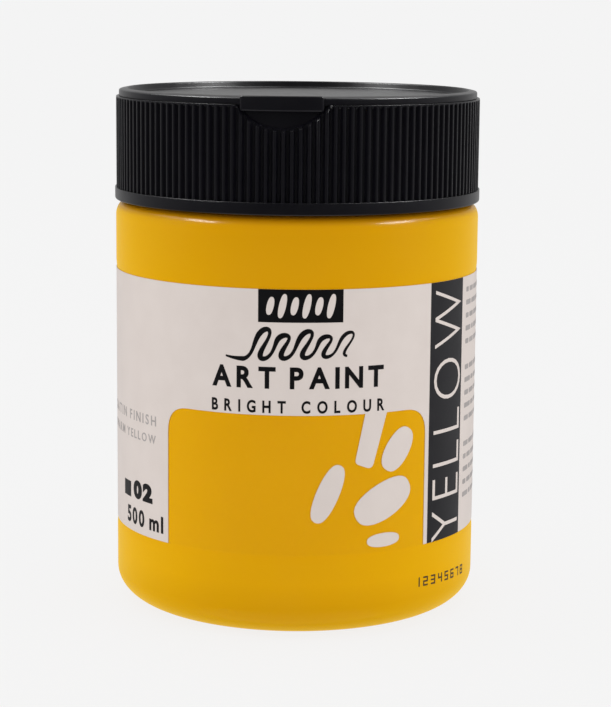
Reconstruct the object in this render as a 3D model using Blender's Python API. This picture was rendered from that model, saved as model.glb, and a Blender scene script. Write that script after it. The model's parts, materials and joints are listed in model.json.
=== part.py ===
"""A 500 ml paint jar with a ribbed flip-top screw cap, in its own frame.

Metres, +Z up. The origin is the centre of the foot ring, on the plane the jar stands on.
The thumb tab of the flip lid faces -Y and its living hinge is at +Y.
"""

import math

import bmesh
import bpy
from mathutils import Matrix, Vector

MM = 0.001
TURN = 2 * math.pi

# Jar: outer shape
BODY_R = 43.0 * MM            # outer radius above and below the label panel
PANEL_R = 42.72 * MM          # outer radius of the label panel, sunk so that the label lies flush
PANEL_LOW_Z = 19.3 * MM
PANEL_HIGH_Z = 80.5 * MM
WALL = 1.2 * MM
FOOT_R = 33.6 * MM            # where the flat foot ring meets the rounded base corner
FOOT_WIDTH = 3.4 * MM
FOOT_CORNER_H = 7.5 * MM      # height of the rounded base corner
PUSH_UP = 1.8 * MM            # how far the base is domed up inside the foot ring
SHOULDER_LOW_Z = 92.5 * MM    # the wall is straight up to here
SHOULDER_Z = 96.0 * MM        # flat shoulder under the cap
SHOULDER_ROUND = 2.8 * MM

# Jar: neck and its thread
NECK_R = 39.9 * MM
BORE_R = 37.9 * MM
LIP_Z = 114.9 * MM
THREAD_PITCH = 5.0 * MM
THREAD_CREST_R = 41.15 * MM
THREAD_ROOT_HALF = 1.1 * MM   # half of the ridge's width at its foot
THREAD_CREST_HALF = 0.45 * MM
NECK_THREAD_TURNS = 1.25
NECK_THREAD_Z = 102.6 * MM    # middle of the ridge where it starts

# Label: a clear film with a seam at the back
LABEL_R = 43.04 * MM
LABEL_THICKNESS = 0.12 * MM
LABEL_LOW_Z = 19.7 * MM
LABEL_HIGH_Z = 80.1 * MM
LABEL_SEAM_ANGLE = math.radians(3)

# Contents
FILL_GAP = 0.3 * MM
FILL_LEVEL_Z = 98.3 * MM

# Screw cap
RIBS = 140
RIB_R = 43.05 * MM
GROOVE_R = 42.4 * MM
RIB_LOW_Z = 99.1 * MM
BAND_R = 43.2 * MM            # plain band below the ribs
CAP_LOW_Z = 96.5 * MM
CAP_HIGH_Z = 120.5 * MM
CAP_BORE_R = 41.6 * MM
CAP_COLLAR_R = 40.4 * MM      # narrower bore beside the lip, which backs the thumb scoop
CAP_COLLAR_Z = 112.4 * MM
CAP_THREAD_CREST_R = 40.5 * MM
CAP_THREAD_TURNS = 1.25
CAP_THREAD_DROP = 1.7 * MM    # how far its ridge lies below the neck's
DECK_LOW_Z = 116.4 * MM
DECK_HIGH_Z = 117.9 * MM
TOP_RECESS_R = 40.2 * MM

# Pouring hole in the cap's deck, towards the front
SPOUT_Y = -24.0 * MM
SPOUT_R = 8.0 * MM
SPOUT_LIP_R = 9.2 * MM
SPOUT_LIP_Z = 119.4 * MM

# Thumb scoop in the cap's front
SCOOP_R = 13.5 * MM
SCOOP_LOW_Z = 114.65 * MM
SCOOP_BACK_R = 41.3 * MM
SCOOP_TAPER = 0.7 * MM        # how much smaller the scoop is at its back

# Seal between the jar's lip and the cap's deck
SEAL_OUTER_R = 40.0 * MM
SEAL_INNER_R = 37.4 * MM
SEAL_LOW_Z = 115.2 * MM
SEAL_HIGH_Z = 116.1 * MM

# Flip lid
LID_R = 42.2 * MM
LID_STEP_R = 39.9 * MM        # the part of its underside that drops into the cap's recess
LID_LOW_Z = 119.9 * MM
LID_SEAT_Z = 120.8 * MM
LID_DISH_Z = 121.2 * MM
LID_DISH_R = 40.5 * MM
LID_RIM_INNER_R = 41.2 * MM
LID_HIGH_Z = 122.2 * MM
LID_RIM_CHAMFER = 0.3 * MM
PLUG_R = 7.7 * MM
PLUG_BORE_R = 6.6 * MM
PLUG_LOW_Z = 117.3 * MM
TAB_HALF_WIDTH = 9.35 * MM
TAB_LOW_Z = 119.35 * MM
TAB_HIGH_Z = 122.1 * MM
TAB_BACK_R = 41.65 * MM
TAB_FRONT_R = 43.15 * MM

# Living hinge: the film that joins the lid to the cap
HINGE_Y = 42.9 * MM
HINGE_Z = 120.65 * MM
HINGE_HALF_WIDTH = 7.0 * MM
HINGE_LOW_Z = 118.8 * MM
HINGE_HIGH_Z = 121.8 * MM
HINGE_THICKNESS = 0.3 * MM
HINGE_CLEARANCE = 0.35 * MM

JAR_SEGMENTS = 60
CAP_BORE_SEGMENTS = 70
LID_SEGMENTS = 72
THREAD_STEPS_PER_TURN = 48


def clear_scene():
    for obj in list(bpy.data.objects):
        bpy.data.objects.remove(obj, do_unlink=True)


def make_material(name, colour, roughness, metallic=0.0, alpha=1.0):
    material = bpy.data.materials.new(name)
    material.use_nodes = True
    shader = material.node_tree.nodes["Principled BSDF"]
    shader.inputs["Base Color"].default_value = (*colour, 1.0)
    shader.inputs["Roughness"].default_value = roughness
    shader.inputs["Metallic"].default_value = metallic
    shader.inputs["Alpha"].default_value = alpha
    return material


def make_object(name, bm, material=None):
    """An object from a closed bmesh, with its faces turned outwards."""
    bmesh.ops.recalc_face_normals(bm, faces=bm.faces)
    mesh = bpy.data.meshes.new(name)
    bm.to_mesh(mesh)
    bm.free()
    obj = bpy.data.objects.new(name, mesh)
    bpy.context.collection.objects.link(obj)
    if material is not None:
        mesh.materials.append(material)
        mesh.shade_smooth()
        mesh.set_sharp_from_angle(angle=math.radians(30))
    return obj


def combine(target, tool, operation):
    """Joins or cuts target with tool, which is then only a guide."""
    tool.hide_render = True
    tool.display_type = "WIRE"
    modifier = target.modifiers.new(tool.name, "BOOLEAN")
    modifier.operation = operation
    modifier.object = tool


def put_origin(obj, point):
    obj.data.transform(Matrix.Translation(-point))
    obj.location = point


def polar(radius, angle, z):
    """A point at this angle from -Y, towards +X."""
    return Vector((radius * math.sin(angle), -radius * math.cos(angle), z))


def arc(centre_r, centre_z, size_r, size_z, start_deg, end_deg, steps):
    """Outline points along an elliptical arc, from start to end."""
    points = []
    for i in range(steps + 1):
        angle = math.radians(start_deg + (end_deg - start_deg) * i / steps)
        points.append((centre_r + size_r * math.cos(angle), centre_z + size_z * math.sin(angle)))
    return points


def ring(bm, radius, z, segments, centre=(0.0, 0.0)):
    """A ring of vertices, or one vertex on the axis."""
    if radius == 0:
        return [bm.verts.new((*centre, z))]
    shift = Vector((*centre, 0.0))
    return [bm.verts.new(polar(radius, TURN * i / segments, z) + shift) for i in range(segments)]


def join_rings(bm, one, other):
    """Faces between two rings, or from a ring to a vertex on the axis.

    Level rings may differ: one then has a whole multiple of the other's vertices.
    """
    if len(one) < len(other):
        one, other = other, one
    share = len(one) // len(other)
    for j, corner in enumerate(other):
        if len(other) == 1:
            for before, after in zip(one, one[1:] + one[:1]):
                bm.faces.new((before, after, corner))
            continue
        along = [one[i % len(one)] for i in range(j * share, (j + 1) * share + 1)]
        bm.faces.new((*along, other[(j + 1) % len(other)], corner))


def turned(outline, segments, centre=(0.0, 0.0), loop=False):
    """A bmesh turned about the vertical. An open outline starts and ends on the axis."""
    bm = bmesh.new()
    rings = [ring(bm, r, z, segments, centre) for r, z in outline]
    for one, other in zip(rings, rings[1:]):
        join_rings(bm, one, other)
    if loop:
        join_rings(bm, rings[-1], rings[0])
    return bm


def tube(inner_r, outer_r, low_z, high_z, segments, centre=(0.0, 0.0)):
    outline = [(outer_r, low_z), (outer_r, high_z), (inner_r, high_z), (inner_r, low_z)]
    return turned(outline, segments, centre, loop=True)


def disc(radius, low_z, high_z, segments, centre=(0.0, 0.0)):
    return turned([(0, low_z), (radius, low_z), (radius, high_z), (0, high_z)], segments, centre)


def helical_ridge(root_r, crest_r, start_z, turns):
    """A right-handed thread ridge whose height fades to nothing over its first and last steps."""
    bm = bmesh.new()
    steps = round(turns * THREAD_STEPS_PER_TURN)
    fade_steps = 4
    sections = []
    for i in range(steps + 1):
        angle = TURN * i / THREAD_STEPS_PER_TURN
        z = start_z + THREAD_PITCH * i / THREAD_STEPS_PER_TURN
        height = min(1.0, (min(i, steps - i) + 1) / (fade_steps + 1))
        tip_r = root_r + (crest_r - root_r) * height
        corners = [
            (root_r, -THREAD_ROOT_HALF),
            (tip_r, -THREAD_CREST_HALF),
            (tip_r, THREAD_CREST_HALF),
            (root_r, THREAD_ROOT_HALF),
        ]
        sections.append([bm.verts.new(polar(r, angle, z + dz)) for r, dz in corners])
    for one, other in zip(sections, sections[1:]):
        join_rings(bm, one, other)
    bm.faces.new(sections[0])
    bm.faces.new(sections[-1])
    return bm


def bend_onto_cap(bm):
    """Wraps a flat shape onto the cap: its x runs along the arc and its y is the radius."""
    for vert in bm.verts:
        x, radius, z = vert.co
        vert.co = polar(radius, x / RIB_R, z)


def arc_block(half_width, back_r, front_r, low_z, high_z, steps):
    """A block bent along the cap's front."""
    bm = bmesh.new()
    sections = []
    for i in range(steps + 1):
        x = half_width * (2 * i / steps - 1)
        corners = [(back_r, low_z), (front_r, low_z), (front_r, high_z), (back_r, high_z)]
        sections.append([bm.verts.new((x, r, z)) for r, z in corners])
    for one, other in zip(sections, sections[1:]):
        join_rings(bm, one, other)
    bm.faces.new(sections[0])
    bm.faces.new(sections[-1])
    bend_onto_cap(bm)
    return bm


def box(low, high):
    bm = bmesh.new()
    bmesh.ops.create_cube(bm, size=1.0)
    low, high = Vector(low), Vector(high)
    for vert in bm.verts:
        vert.co = low + Vector((c + 0.5) * s for c, s in zip(vert.co, high - low))
    return bm


def inside_outline(gap):
    """The jar's inner wall from the middle of its floor up to the neck, drawn in by gap."""
    depth = WALL + gap
    wall_r = PANEL_R - depth
    foot_inner_r = FOOT_R - FOOT_WIDTH + depth / 2
    return [
        (0, PUSH_UP + depth),
        (foot_inner_r - PUSH_UP, PUSH_UP + depth),
        (foot_inner_r, depth),
        *arc(FOOT_R, FOOT_CORNER_H, wall_r - FOOT_R, FOOT_CORNER_H - depth, -90, 0, 4),
        (wall_r, SHOULDER_LOW_Z - gap),
        (BORE_R - gap, SHOULDER_Z - depth),
    ]


def make_jar(material):
    foot_inner_r = FOOT_R - FOOT_WIDTH
    shoulder_r = BODY_R - SHOULDER_ROUND
    shoulder_h = SHOULDER_Z - SHOULDER_LOW_Z
    sink = BODY_R - PANEL_R
    lip_round = 0.4 * MM
    outline = [
        (0, PUSH_UP),
        (foot_inner_r - PUSH_UP, PUSH_UP),
        (foot_inner_r, 0),
        *arc(FOOT_R, FOOT_CORNER_H, BODY_R - FOOT_R, FOOT_CORNER_H, -90, 0, 5),
        (BODY_R, PANEL_LOW_Z),
        (PANEL_R, PANEL_LOW_Z + sink),
        (PANEL_R, PANEL_HIGH_Z - sink),
        (BODY_R, PANEL_HIGH_Z),
        *arc(shoulder_r, SHOULDER_LOW_Z, SHOULDER_ROUND, shoulder_h, 0, 90, 4),
        (NECK_R, SHOULDER_Z),
        (NECK_R, LIP_Z - lip_round),
        (NECK_R - lip_round, LIP_Z),
        (BORE_R + lip_round, LIP_Z),
        (BORE_R, LIP_Z - lip_round),
        *reversed(inside_outline(0)),
    ]
    jar = make_object("jar_body", turned(outline, JAR_SEGMENTS), material)
    ridge = helical_ridge(NECK_R - 0.5 * MM, THREAD_CREST_R, NECK_THREAD_Z, NECK_THREAD_TURNS)
    combine(jar, make_object("neck_thread_guide", ridge), "UNION")
    return jar


def make_contents(material):
    outline = [*inside_outline(FILL_GAP), (BORE_R - FILL_GAP, FILL_LEVEL_Z), (0, FILL_LEVEL_Z)]
    return make_object("paint_fill", turned(outline, JAR_SEGMENTS), material)


def make_label(material):
    """A film wrapped round the jar, open at the seam."""
    bm = bmesh.new()
    inner_r = LABEL_R - LABEL_THICKNESS
    sections = []
    for i in range(JAR_SEGMENTS + 1):
        angle = math.pi + LABEL_SEAM_ANGLE / 2 + (TURN - LABEL_SEAM_ANGLE) * i / JAR_SEGMENTS
        corners = [
            (inner_r, LABEL_LOW_Z),
            (LABEL_R, LABEL_LOW_Z),
            (LABEL_R, LABEL_HIGH_Z),
            (inner_r, LABEL_HIGH_Z),
        ]
        sections.append([bm.verts.new(polar(r, angle, z)) for r, z in corners])
    for one, other in zip(sections, sections[1:]):
        join_rings(bm, one, other)
    bm.faces.new(sections[0])
    bm.faces.new(sections[-1])
    return make_object("label_wrap", bm, material)


def rib_ring(bm, z):
    """The ribs' outline at one height, eight vertices for each segment of the cap's bore."""
    points = []
    for i in range(RIBS):
        for radius, place in ((RIB_R, 0.0), (RIB_R, 0.42), (GROOVE_R, 0.58), (GROOVE_R, 0.84)):
            points.append(bm.verts.new(polar(radius, TURN * (i + place) / RIBS, z)))
    return points


def make_cap(material):
    bm = bmesh.new()
    chamfer = 0.4 * MM
    inside = [
        (TOP_RECESS_R, CAP_HIGH_Z),
        (TOP_RECESS_R, DECK_HIGH_Z),
        (0, DECK_HIGH_Z),
    ]
    underside = [
        (0, DECK_LOW_Z),
        (CAP_COLLAR_R, DECK_LOW_Z),
        (CAP_COLLAR_R, CAP_COLLAR_Z + 1.2 * MM),
        (CAP_BORE_R, CAP_COLLAR_Z),
        (CAP_BORE_R, CAP_LOW_Z),
    ]
    rings = [
        ring(bm, BAND_R - chamfer, CAP_LOW_Z, RIBS),
        ring(bm, BAND_R, CAP_LOW_Z + chamfer, RIBS),
        ring(bm, BAND_R, RIB_LOW_Z, RIBS),
        rib_ring(bm, RIB_LOW_Z),
        rib_ring(bm, CAP_HIGH_Z),
        *[ring(bm, r, z, CAP_BORE_SEGMENTS) for r, z in inside],
    ]
    for one, other in zip(rings, rings[1:]):
        join_rings(bm, one, other)
    lower = [ring(bm, r, z, CAP_BORE_SEGMENTS) for r, z in underside]
    for one, other in zip(lower, lower[1:]):
        join_rings(bm, one, other)
    join_rings(bm, lower[-1], rings[0])
    cap = make_object("screw_cap", bm, material)
    combine(cap, make_scoop_cutter(), "DIFFERENCE")
    combine(cap, make_hinge_cutter(), "DIFFERENCE")

    ridge = helical_ridge(
        CAP_BORE_R + 0.4 * MM,
        CAP_THREAD_CREST_R,
        NECK_THREAD_Z - CAP_THREAD_DROP,
        CAP_THREAD_TURNS,
    )
    combine(cap, make_object("cap_thread_guide", ridge), "UNION")

    spout = (0.0, SPOUT_Y)
    collar = disc(SPOUT_LIP_R, DECK_LOW_Z + 0.5 * MM, SPOUT_LIP_Z, 36, spout)
    combine(cap, make_object("spout_lip_guide", collar), "UNION")
    hole = disc(SPOUT_R, DECK_LOW_Z - 1 * MM, SPOUT_LIP_Z + 1 * MM, 36, spout)
    combine(cap, make_object("spout_cutter", hole), "DIFFERENCE")

    return cap


def make_scoop_cutter():
    """A shallow round pocket wrapped onto the cap's front, a little smaller at its back."""
    bm = bmesh.new()
    centre_z = SCOOP_LOW_Z + SCOOP_R
    front_r = BAND_R + 1 * MM
    slope = SCOOP_TAPER / (RIB_R - SCOOP_BACK_R)
    columns = 12
    rows = []
    for radius in (SCOOP_BACK_R, front_r):
        size = SCOOP_R + slope * (radius - RIB_R)
        half = math.acos((centre_z - CAP_HIGH_Z - 1 * MM) / size)
        low = []
        high = []
        for i in range(columns + 1):
            angle = half * (2 * i / columns - 1)
            x = size * math.sin(angle)
            low.append(bm.verts.new((x, radius, centre_z - size * math.cos(angle))))
            high.append(bm.verts.new((x, radius, CAP_HIGH_Z + 1.2 * MM)))
        rows.append((low, high))
    (back_low, back_high), (front_low, front_high) = rows
    for i in range(columns):
        bm.faces.new((back_low[i], back_low[i + 1], back_high[i + 1], back_high[i]))
        bm.faces.new((front_low[i], front_low[i + 1], front_high[i + 1], front_high[i]))
        bm.faces.new((back_low[i], back_low[i + 1], front_low[i + 1], front_low[i]))
        bm.faces.new((back_high[i], back_high[i + 1], front_high[i + 1], front_high[i]))
    for i in (0, columns):
        bm.faces.new((back_low[i], back_high[i], front_high[i], front_low[i]))
    bend_onto_cap(bm)
    return make_object("scoop_cutter", bm)


def make_hinge_cutter():
    """The room for the hinge film at the back of the cap."""
    half = HINGE_HALF_WIDTH + HINGE_CLEARANCE
    front_y = HINGE_Y - HINGE_THICKNESS / 2 - HINGE_CLEARANCE
    low = (-half, front_y, HINGE_LOW_Z - HINGE_CLEARANCE)
    high = (half, BAND_R + 1 * MM, LID_HIGH_Z + 1 * MM)
    return make_object("hinge_cutter", box(low, high))


def make_seal(material):
    bm = tube(SEAL_INNER_R, SEAL_OUTER_R, SEAL_LOW_Z, SEAL_HIGH_Z, CAP_BORE_SEGMENTS)
    return make_object("seal_ring", bm, material)


def make_lid(material):
    outline = [
        (0, LID_LOW_Z),
        (LID_STEP_R, LID_LOW_Z),
        (LID_STEP_R, LID_SEAT_Z),
        (LID_R, LID_SEAT_Z),
        (LID_R, LID_HIGH_Z - LID_RIM_CHAMFER),
        (LID_R - LID_RIM_CHAMFER, LID_HIGH_Z),
        (LID_RIM_INNER_R, LID_HIGH_Z),
        (LID_DISH_R, LID_DISH_Z),
        (0, LID_DISH_Z),
    ]
    lid = make_object("flip_lid", turned(outline, LID_SEGMENTS), material)
    tab = arc_block(TAB_HALF_WIDTH, TAB_BACK_R, TAB_FRONT_R, TAB_LOW_Z, TAB_HIGH_Z, 8)
    combine(lid, make_object("tab_guide", tab), "UNION")
    plug = tube(PLUG_BORE_R, PLUG_R, PLUG_LOW_Z, LID_LOW_Z + 0.5 * MM, 36, (0.0, SPOUT_Y))
    combine(lid, make_object("plug_guide", plug), "UNION")
    put_origin(lid, Vector((0.0, HINGE_Y, HINGE_Z)))
    return lid


def make_hinge(material):
    """The film is necked where it bends."""
    half = HINGE_THICKNESS / 2
    neck = half * 0.6
    side = [
        (-half, HINGE_LOW_Z),
        (half, HINGE_LOW_Z),
        (half, HINGE_Z - 0.5 * MM),
        (neck, HINGE_Z),
        (half, HINGE_Z + 0.5 * MM),
        (half, HINGE_HIGH_Z),
        (-half, HINGE_HIGH_Z),
        (-half, HINGE_Z + 0.5 * MM),
        (-neck, HINGE_Z),
        (-half, HINGE_Z - 0.5 * MM),
    ]
    bm = bmesh.new()
    ends = []
    for x in (-HINGE_HALF_WIDTH, HINGE_HALF_WIDTH):
        ends.append([bm.verts.new((x, HINGE_Y + dy, z)) for dy, z in side])
    join_rings(bm, *ends)
    for end in ends:
        bm.faces.new(end)
    hinge = make_object("living_hinge", bm, material)
    put_origin(hinge, Vector((0.0, HINGE_Y, HINGE_Z)))
    return hinge


def main():
    clear_scene()
    jar_plastic = make_material("jar_plastic", (0.86, 0.72, 0.42), 0.32, alpha=0.35)
    paint = make_material("yellow_paint", (0.75, 0.41, 0.012), 0.35)
    label_film = make_material("label_film", (0.72, 0.68, 0.66), 0.4)
    black_plastic = make_material("black_plastic", (0.014, 0.014, 0.018), 0.38)
    seal_foam = make_material("seal_foam", (0.8, 0.8, 0.78), 0.8)
    make_jar(jar_plastic)
    make_contents(paint)
    make_label(label_film)
    make_seal(seal_foam)
    make_cap(black_plastic)
    make_lid(black_plastic)
    make_hinge(black_plastic)


main()
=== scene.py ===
"""The looks of a 500 ml paint jar with a ribbed flip-top cap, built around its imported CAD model.

Metres, +Z up, in the CAD's own frame: the origin is the centre of the foot ring, the lid's
thumb tab faces -Y and its living hinge is at +Y. An angle round the jar is from -Y towards +X.
"""

import itertools
import json
import math

import bmesh
import bpy
from mathutils import Matrix, Vector


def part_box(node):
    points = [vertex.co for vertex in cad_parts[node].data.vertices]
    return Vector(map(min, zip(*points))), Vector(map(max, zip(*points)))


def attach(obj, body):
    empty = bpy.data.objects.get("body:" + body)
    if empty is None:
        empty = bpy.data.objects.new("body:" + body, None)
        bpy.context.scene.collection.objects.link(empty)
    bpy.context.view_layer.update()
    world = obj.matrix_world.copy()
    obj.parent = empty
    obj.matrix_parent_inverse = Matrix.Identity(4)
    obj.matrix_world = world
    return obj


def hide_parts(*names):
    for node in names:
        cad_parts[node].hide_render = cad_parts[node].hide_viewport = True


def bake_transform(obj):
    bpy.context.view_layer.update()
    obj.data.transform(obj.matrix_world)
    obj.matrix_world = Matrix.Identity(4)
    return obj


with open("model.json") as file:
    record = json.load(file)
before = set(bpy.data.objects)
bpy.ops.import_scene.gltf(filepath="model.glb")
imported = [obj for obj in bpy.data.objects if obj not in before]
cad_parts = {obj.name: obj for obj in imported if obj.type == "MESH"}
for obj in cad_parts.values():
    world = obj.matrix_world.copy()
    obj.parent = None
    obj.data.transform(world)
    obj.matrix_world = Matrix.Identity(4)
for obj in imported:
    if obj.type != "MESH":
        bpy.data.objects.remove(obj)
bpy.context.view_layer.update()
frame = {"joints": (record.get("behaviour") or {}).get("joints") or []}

MM = 0.001
TURN = 2 * math.pi

# Driving sizes, from the CAD nodes
jar_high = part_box("jar_body")[1]
fill_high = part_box("paint_fill")[1]
label_low, label_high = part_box("label_wrap")
cap_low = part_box("screw_cap")[0]
seal_low, seal_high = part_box("seal_ring")
lid_low, lid_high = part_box("flip_lid")
hinge_low, hinge_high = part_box("living_hinge")

BODY_R = jar_high.x
LIP_Z = jar_high.z
LABEL_R = -label_low.y
LABEL_LOW_Z = label_low.z
LABEL_HIGH_Z = label_high.z
FILL_Z = fill_high.z
BAND_R = -cap_low.y
CAP_LOW_Z = cap_low.z - 0.2 * MM  # a little lower than the CAD's
LID_R = lid_high.x
LID_HIGH_Z = lid_high.z
TAB_FRONT_R = -lid_low.y
HINGE_Y = (hinge_low.y + hinge_high.y) / 2
HINGE_Z = next(j for j in frame["joints"] if j["name"] == "lid_flip")["pos_m"][2]

# Jar
PANEL_R = BODY_R - 0.15 * MM      # the label panel is sunk into the wall
PANEL_GAP = 0.4 * MM              # of bare panel above and below the label
PANEL_STEP_H = 1.2 * MM           # of the slope from the panel out to the full radius
WALL = 1.2 * MM
FOOT_R = BODY_R - 9.4 * MM
FOOT_WIDTH = 3.4 * MM
FOOT_CORNER_H = 7.5 * MM
PUSH_UP = 1.8 * MM
SHOULDER_LOW_Z = 92.5 * MM
SHOULDER_Z = 96.0 * MM
SHOULDER_ROUND = 2.8 * MM
NECK_R = 39.9 * MM
BORE_R = 37.9 * MM
THREAD_PITCH = 5.0 * MM
THREAD_TURNS = 1.25
THREAD_ROOT_HALF = 1.1 * MM
THREAD_CREST_HALF = 0.45 * MM
NECK_THREAD_CREST_R = 41.15 * MM
NECK_THREAD_Z = 102.6 * MM

# Cap
RIBS = 140
RIB_R = 42.85 * MM
GROOVE_R = 42.0 * MM
RIB_LOW_Z = 99.1 * MM
CAP_HIGH_Z = 120.35 * MM
RIB_HIGH_Z = 120.1 * MM
RIB_RUNOUT = 0.55 * MM            # over which the grooves rise to the top edge
CAP_BORE_R = 41.6 * MM
CAP_COLLAR_R = 40.4 * MM
CAP_COLLAR_Z = 112.4 * MM
CAP_THREAD_CREST_R = 40.5 * MM
CAP_THREAD_DROP = 1.7 * MM
DECK_LOW_Z = 116.4 * MM
DECK_HIGH_Z = 117.9 * MM
TOP_RECESS_R = 40.2 * MM
SPOUT_Y = -24.0 * MM
SPOUT_R = 8.0 * MM
SPOUT_LIP_R = 9.2 * MM
SPOUT_LIP_Z = 119.4 * MM
SCOOP_R = 13.5 * MM
SCOOP_LOW_Z = 114.65 * MM
SCOOP_BACK_R = 41.3 * MM
SCOOP_TAPER = 0.7 * MM
SCOOP_CHAMFER = 0.28 * MM

# Lid
LID_LOW_Z = 119.9 * MM
LID_STEP_R = 39.9 * MM
LID_SEAT_Z = 120.4 * MM
LID_DISH_Z = 120.65 * MM
LID_DISH_R = 39.9 * MM
LID_RIM_INNER_R = 40.25 * MM
LID_RIM_FALL = 0.3 * MM            # from the rim's inner edge to its outer edge
PLUG_R = 7.7 * MM
PLUG_BORE_R = 6.6 * MM
TAB_HALF_WIDTH = 9.35 * MM
TAB_LOW_Z = 119.0 * MM
TAB_HIGH_Z = 122.4 * MM
TAB_BACK_R = 41.65 * MM
HINGE_CLEARANCE = 0.35 * MM
SEAL_WIDTH = 2.6 * MM

# The film's ends lap at the back
FILM_R = PANEL_R + 0.02 * MM
FILM_THICKNESS = 0.03 * MM
LAP_LIFT = 0.05 * MM              # of the end that lies on the other
SEAM_HALF_ANGLE = math.radians(0.7)

# Printed layers, each with its inner radius and thickness
WHITE_LAYER = (LABEL_R - 0.12 * MM, 0.07 * MM)
INK_LAYER = (LABEL_R - 0.05 * MM, 0.03 * MM)
OVERPRINT_LAYER = (LABEL_R - 0.02 * MM, 0.02 * MM)
BATCH_LAYER = (BODY_R - 0.005 * MM, 0.02 * MM)

# Label art: distances along the arc from -Y at LABEL_R, and heights
ART_X = 4.15 * MM                 # middle of the label's front
WINDOW_LEFT = -28.26 * MM
WINDOW_RIGHT = 36.25 * MM
WINDOW_HIGH_Z = 51.85 * MM
WINDOW_CORNER = 6.0 * MM
BAND_LEFT = 37.47 * MM
BAND_RIGHT = 51.05 * MM
BADGE_LEFT = ART_X - 9.05 * MM
BADGE_RIGHT = ART_X + 9.95 * MM
BADGE_LOW_Z = LABEL_HIGH_Z - 7.35 * MM

# The batch digits below the label
BATCH_LEFT = 33.9 * MM
BATCH_LOW_Z = 10.05 * MM
BATCH_ADVANCE = 2.74 * MM         # from one digit to the next
BATCH_FALL = 0.045                # of the row, which isn't quite level

# Camera
LENS = 110.1
CAMERA_DISTANCE = 514.0 * MM      # from the jar's axis
CAMERA_HEIGHT = 144.9 * MM
CAMERA_ANGLE = math.radians(4.8)  # of its place round the jar
CAMERA_PITCH = math.radians(9.52)
CAMERA_YAW = math.radians(0.254)
CAMERA_ROLL = math.radians(0.5)

# Light
PAPER_LEVEL = 0.905               # brightness of the floor and the surroundings
GLOSS_LEVEL = 0.02                # the same, as reflections see it
WALL_LEVEL = 0.57                 # added to reflections of what is behind the jar
WALL_FOCUS = 1.7                  # how closely that keeps to the way straight behind it
FLOOR_ALBEDO = 0.08               # the rest of the floor's brightness is its own light
AIM = Vector((0, 0, 0.08))        # where the lights point

JAR_SEGMENTS = 240
LID_SEGMENTS = 280
SMALL_SEGMENTS = 72


# -------- materials

def principled(name, colour, roughness, **inputs):
    """A Principled material. Inputs are named as its sockets, with underscores for spaces."""
    material = bpy.data.materials.new(name)
    material.use_nodes = True
    shader = material.node_tree.nodes["Principled BSDF"]
    shader.inputs["Base Color"].default_value = (*colour, 1.0)
    shader.inputs["Roughness"].default_value = roughness
    for key, value in inputs.items():
        shader.inputs[key.replace("_", " ")].default_value = value
    return material


def parts_of(material):
    tree = material.node_tree
    return tree.nodes, tree.links, tree.nodes["Principled BSDF"]


def noise(material, size, detail=3.0):
    """A noise texture in the object's own space, whose features are about size across."""
    nodes, links, _ = parts_of(material)
    place = nodes.new("ShaderNodeTexCoord")
    texture = nodes.new("ShaderNodeTexNoise")
    texture.inputs["Scale"].default_value = 1.0 / size
    texture.inputs["Detail"].default_value = detail
    links.new(place.outputs["Object"], texture.inputs["Vector"])
    return texture.outputs["Fac"]


def ramp(material, value, low, high, low_output, high_output):
    """Maps value from low..high to the two outputs, clamped."""
    nodes, links, _ = parts_of(material)
    node = nodes.new("ShaderNodeMapRange")
    settings = zip(("From Min", "From Max", "To Min", "To Max"), (low, high, low_output, high_output))
    for socket, number in settings:
        node.inputs[socket].default_value = number
    links.new(value, node.inputs["Value"])
    return node.outputs["Result"]


def mix_colours(material, factor, one, other):
    """Mixes two colours, each a tuple or another node's output, by a factor."""
    nodes, links, _ = parts_of(material)
    node = nodes.new("ShaderNodeMix")
    node.data_type = "RGBA"
    links.new(factor, node.inputs["Factor"])
    colour_inputs = [socket for socket in node.inputs if socket.type == "RGBA"]
    for socket, colour in zip(colour_inputs, (one, other)):
        if isinstance(colour, tuple):
            socket.default_value = (*colour, 1.0)
        else:
            links.new(colour, socket)
    return next(socket for socket in node.outputs if socket.type == "RGBA")


def vary_colour(material, size, one, other):
    _, links, shader = parts_of(material)
    factor = ramp(material, noise(material, size), 0.3, 0.7, 0.0, 1.0)
    colour = mix_colours(material, factor, one, other)
    links.new(colour, shader.inputs["Base Color"])
    return colour


def vary_roughness(material, size, low, high):
    _, links, shader = parts_of(material)
    value = ramp(material, noise(material, size, detail=4.0), 0.3, 0.7, low, high)
    links.new(value, shader.inputs["Roughness"])


def add_bump(material, size, height, detail=2.0):
    nodes, links, shader = parts_of(material)
    bump = nodes.new("ShaderNodeBump")
    bump.inputs["Distance"].default_value = height
    links.new(noise(material, size, detail), bump.inputs["Height"])
    links.new(bump.outputs["Normal"], shader.inputs["Normal"])


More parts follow.
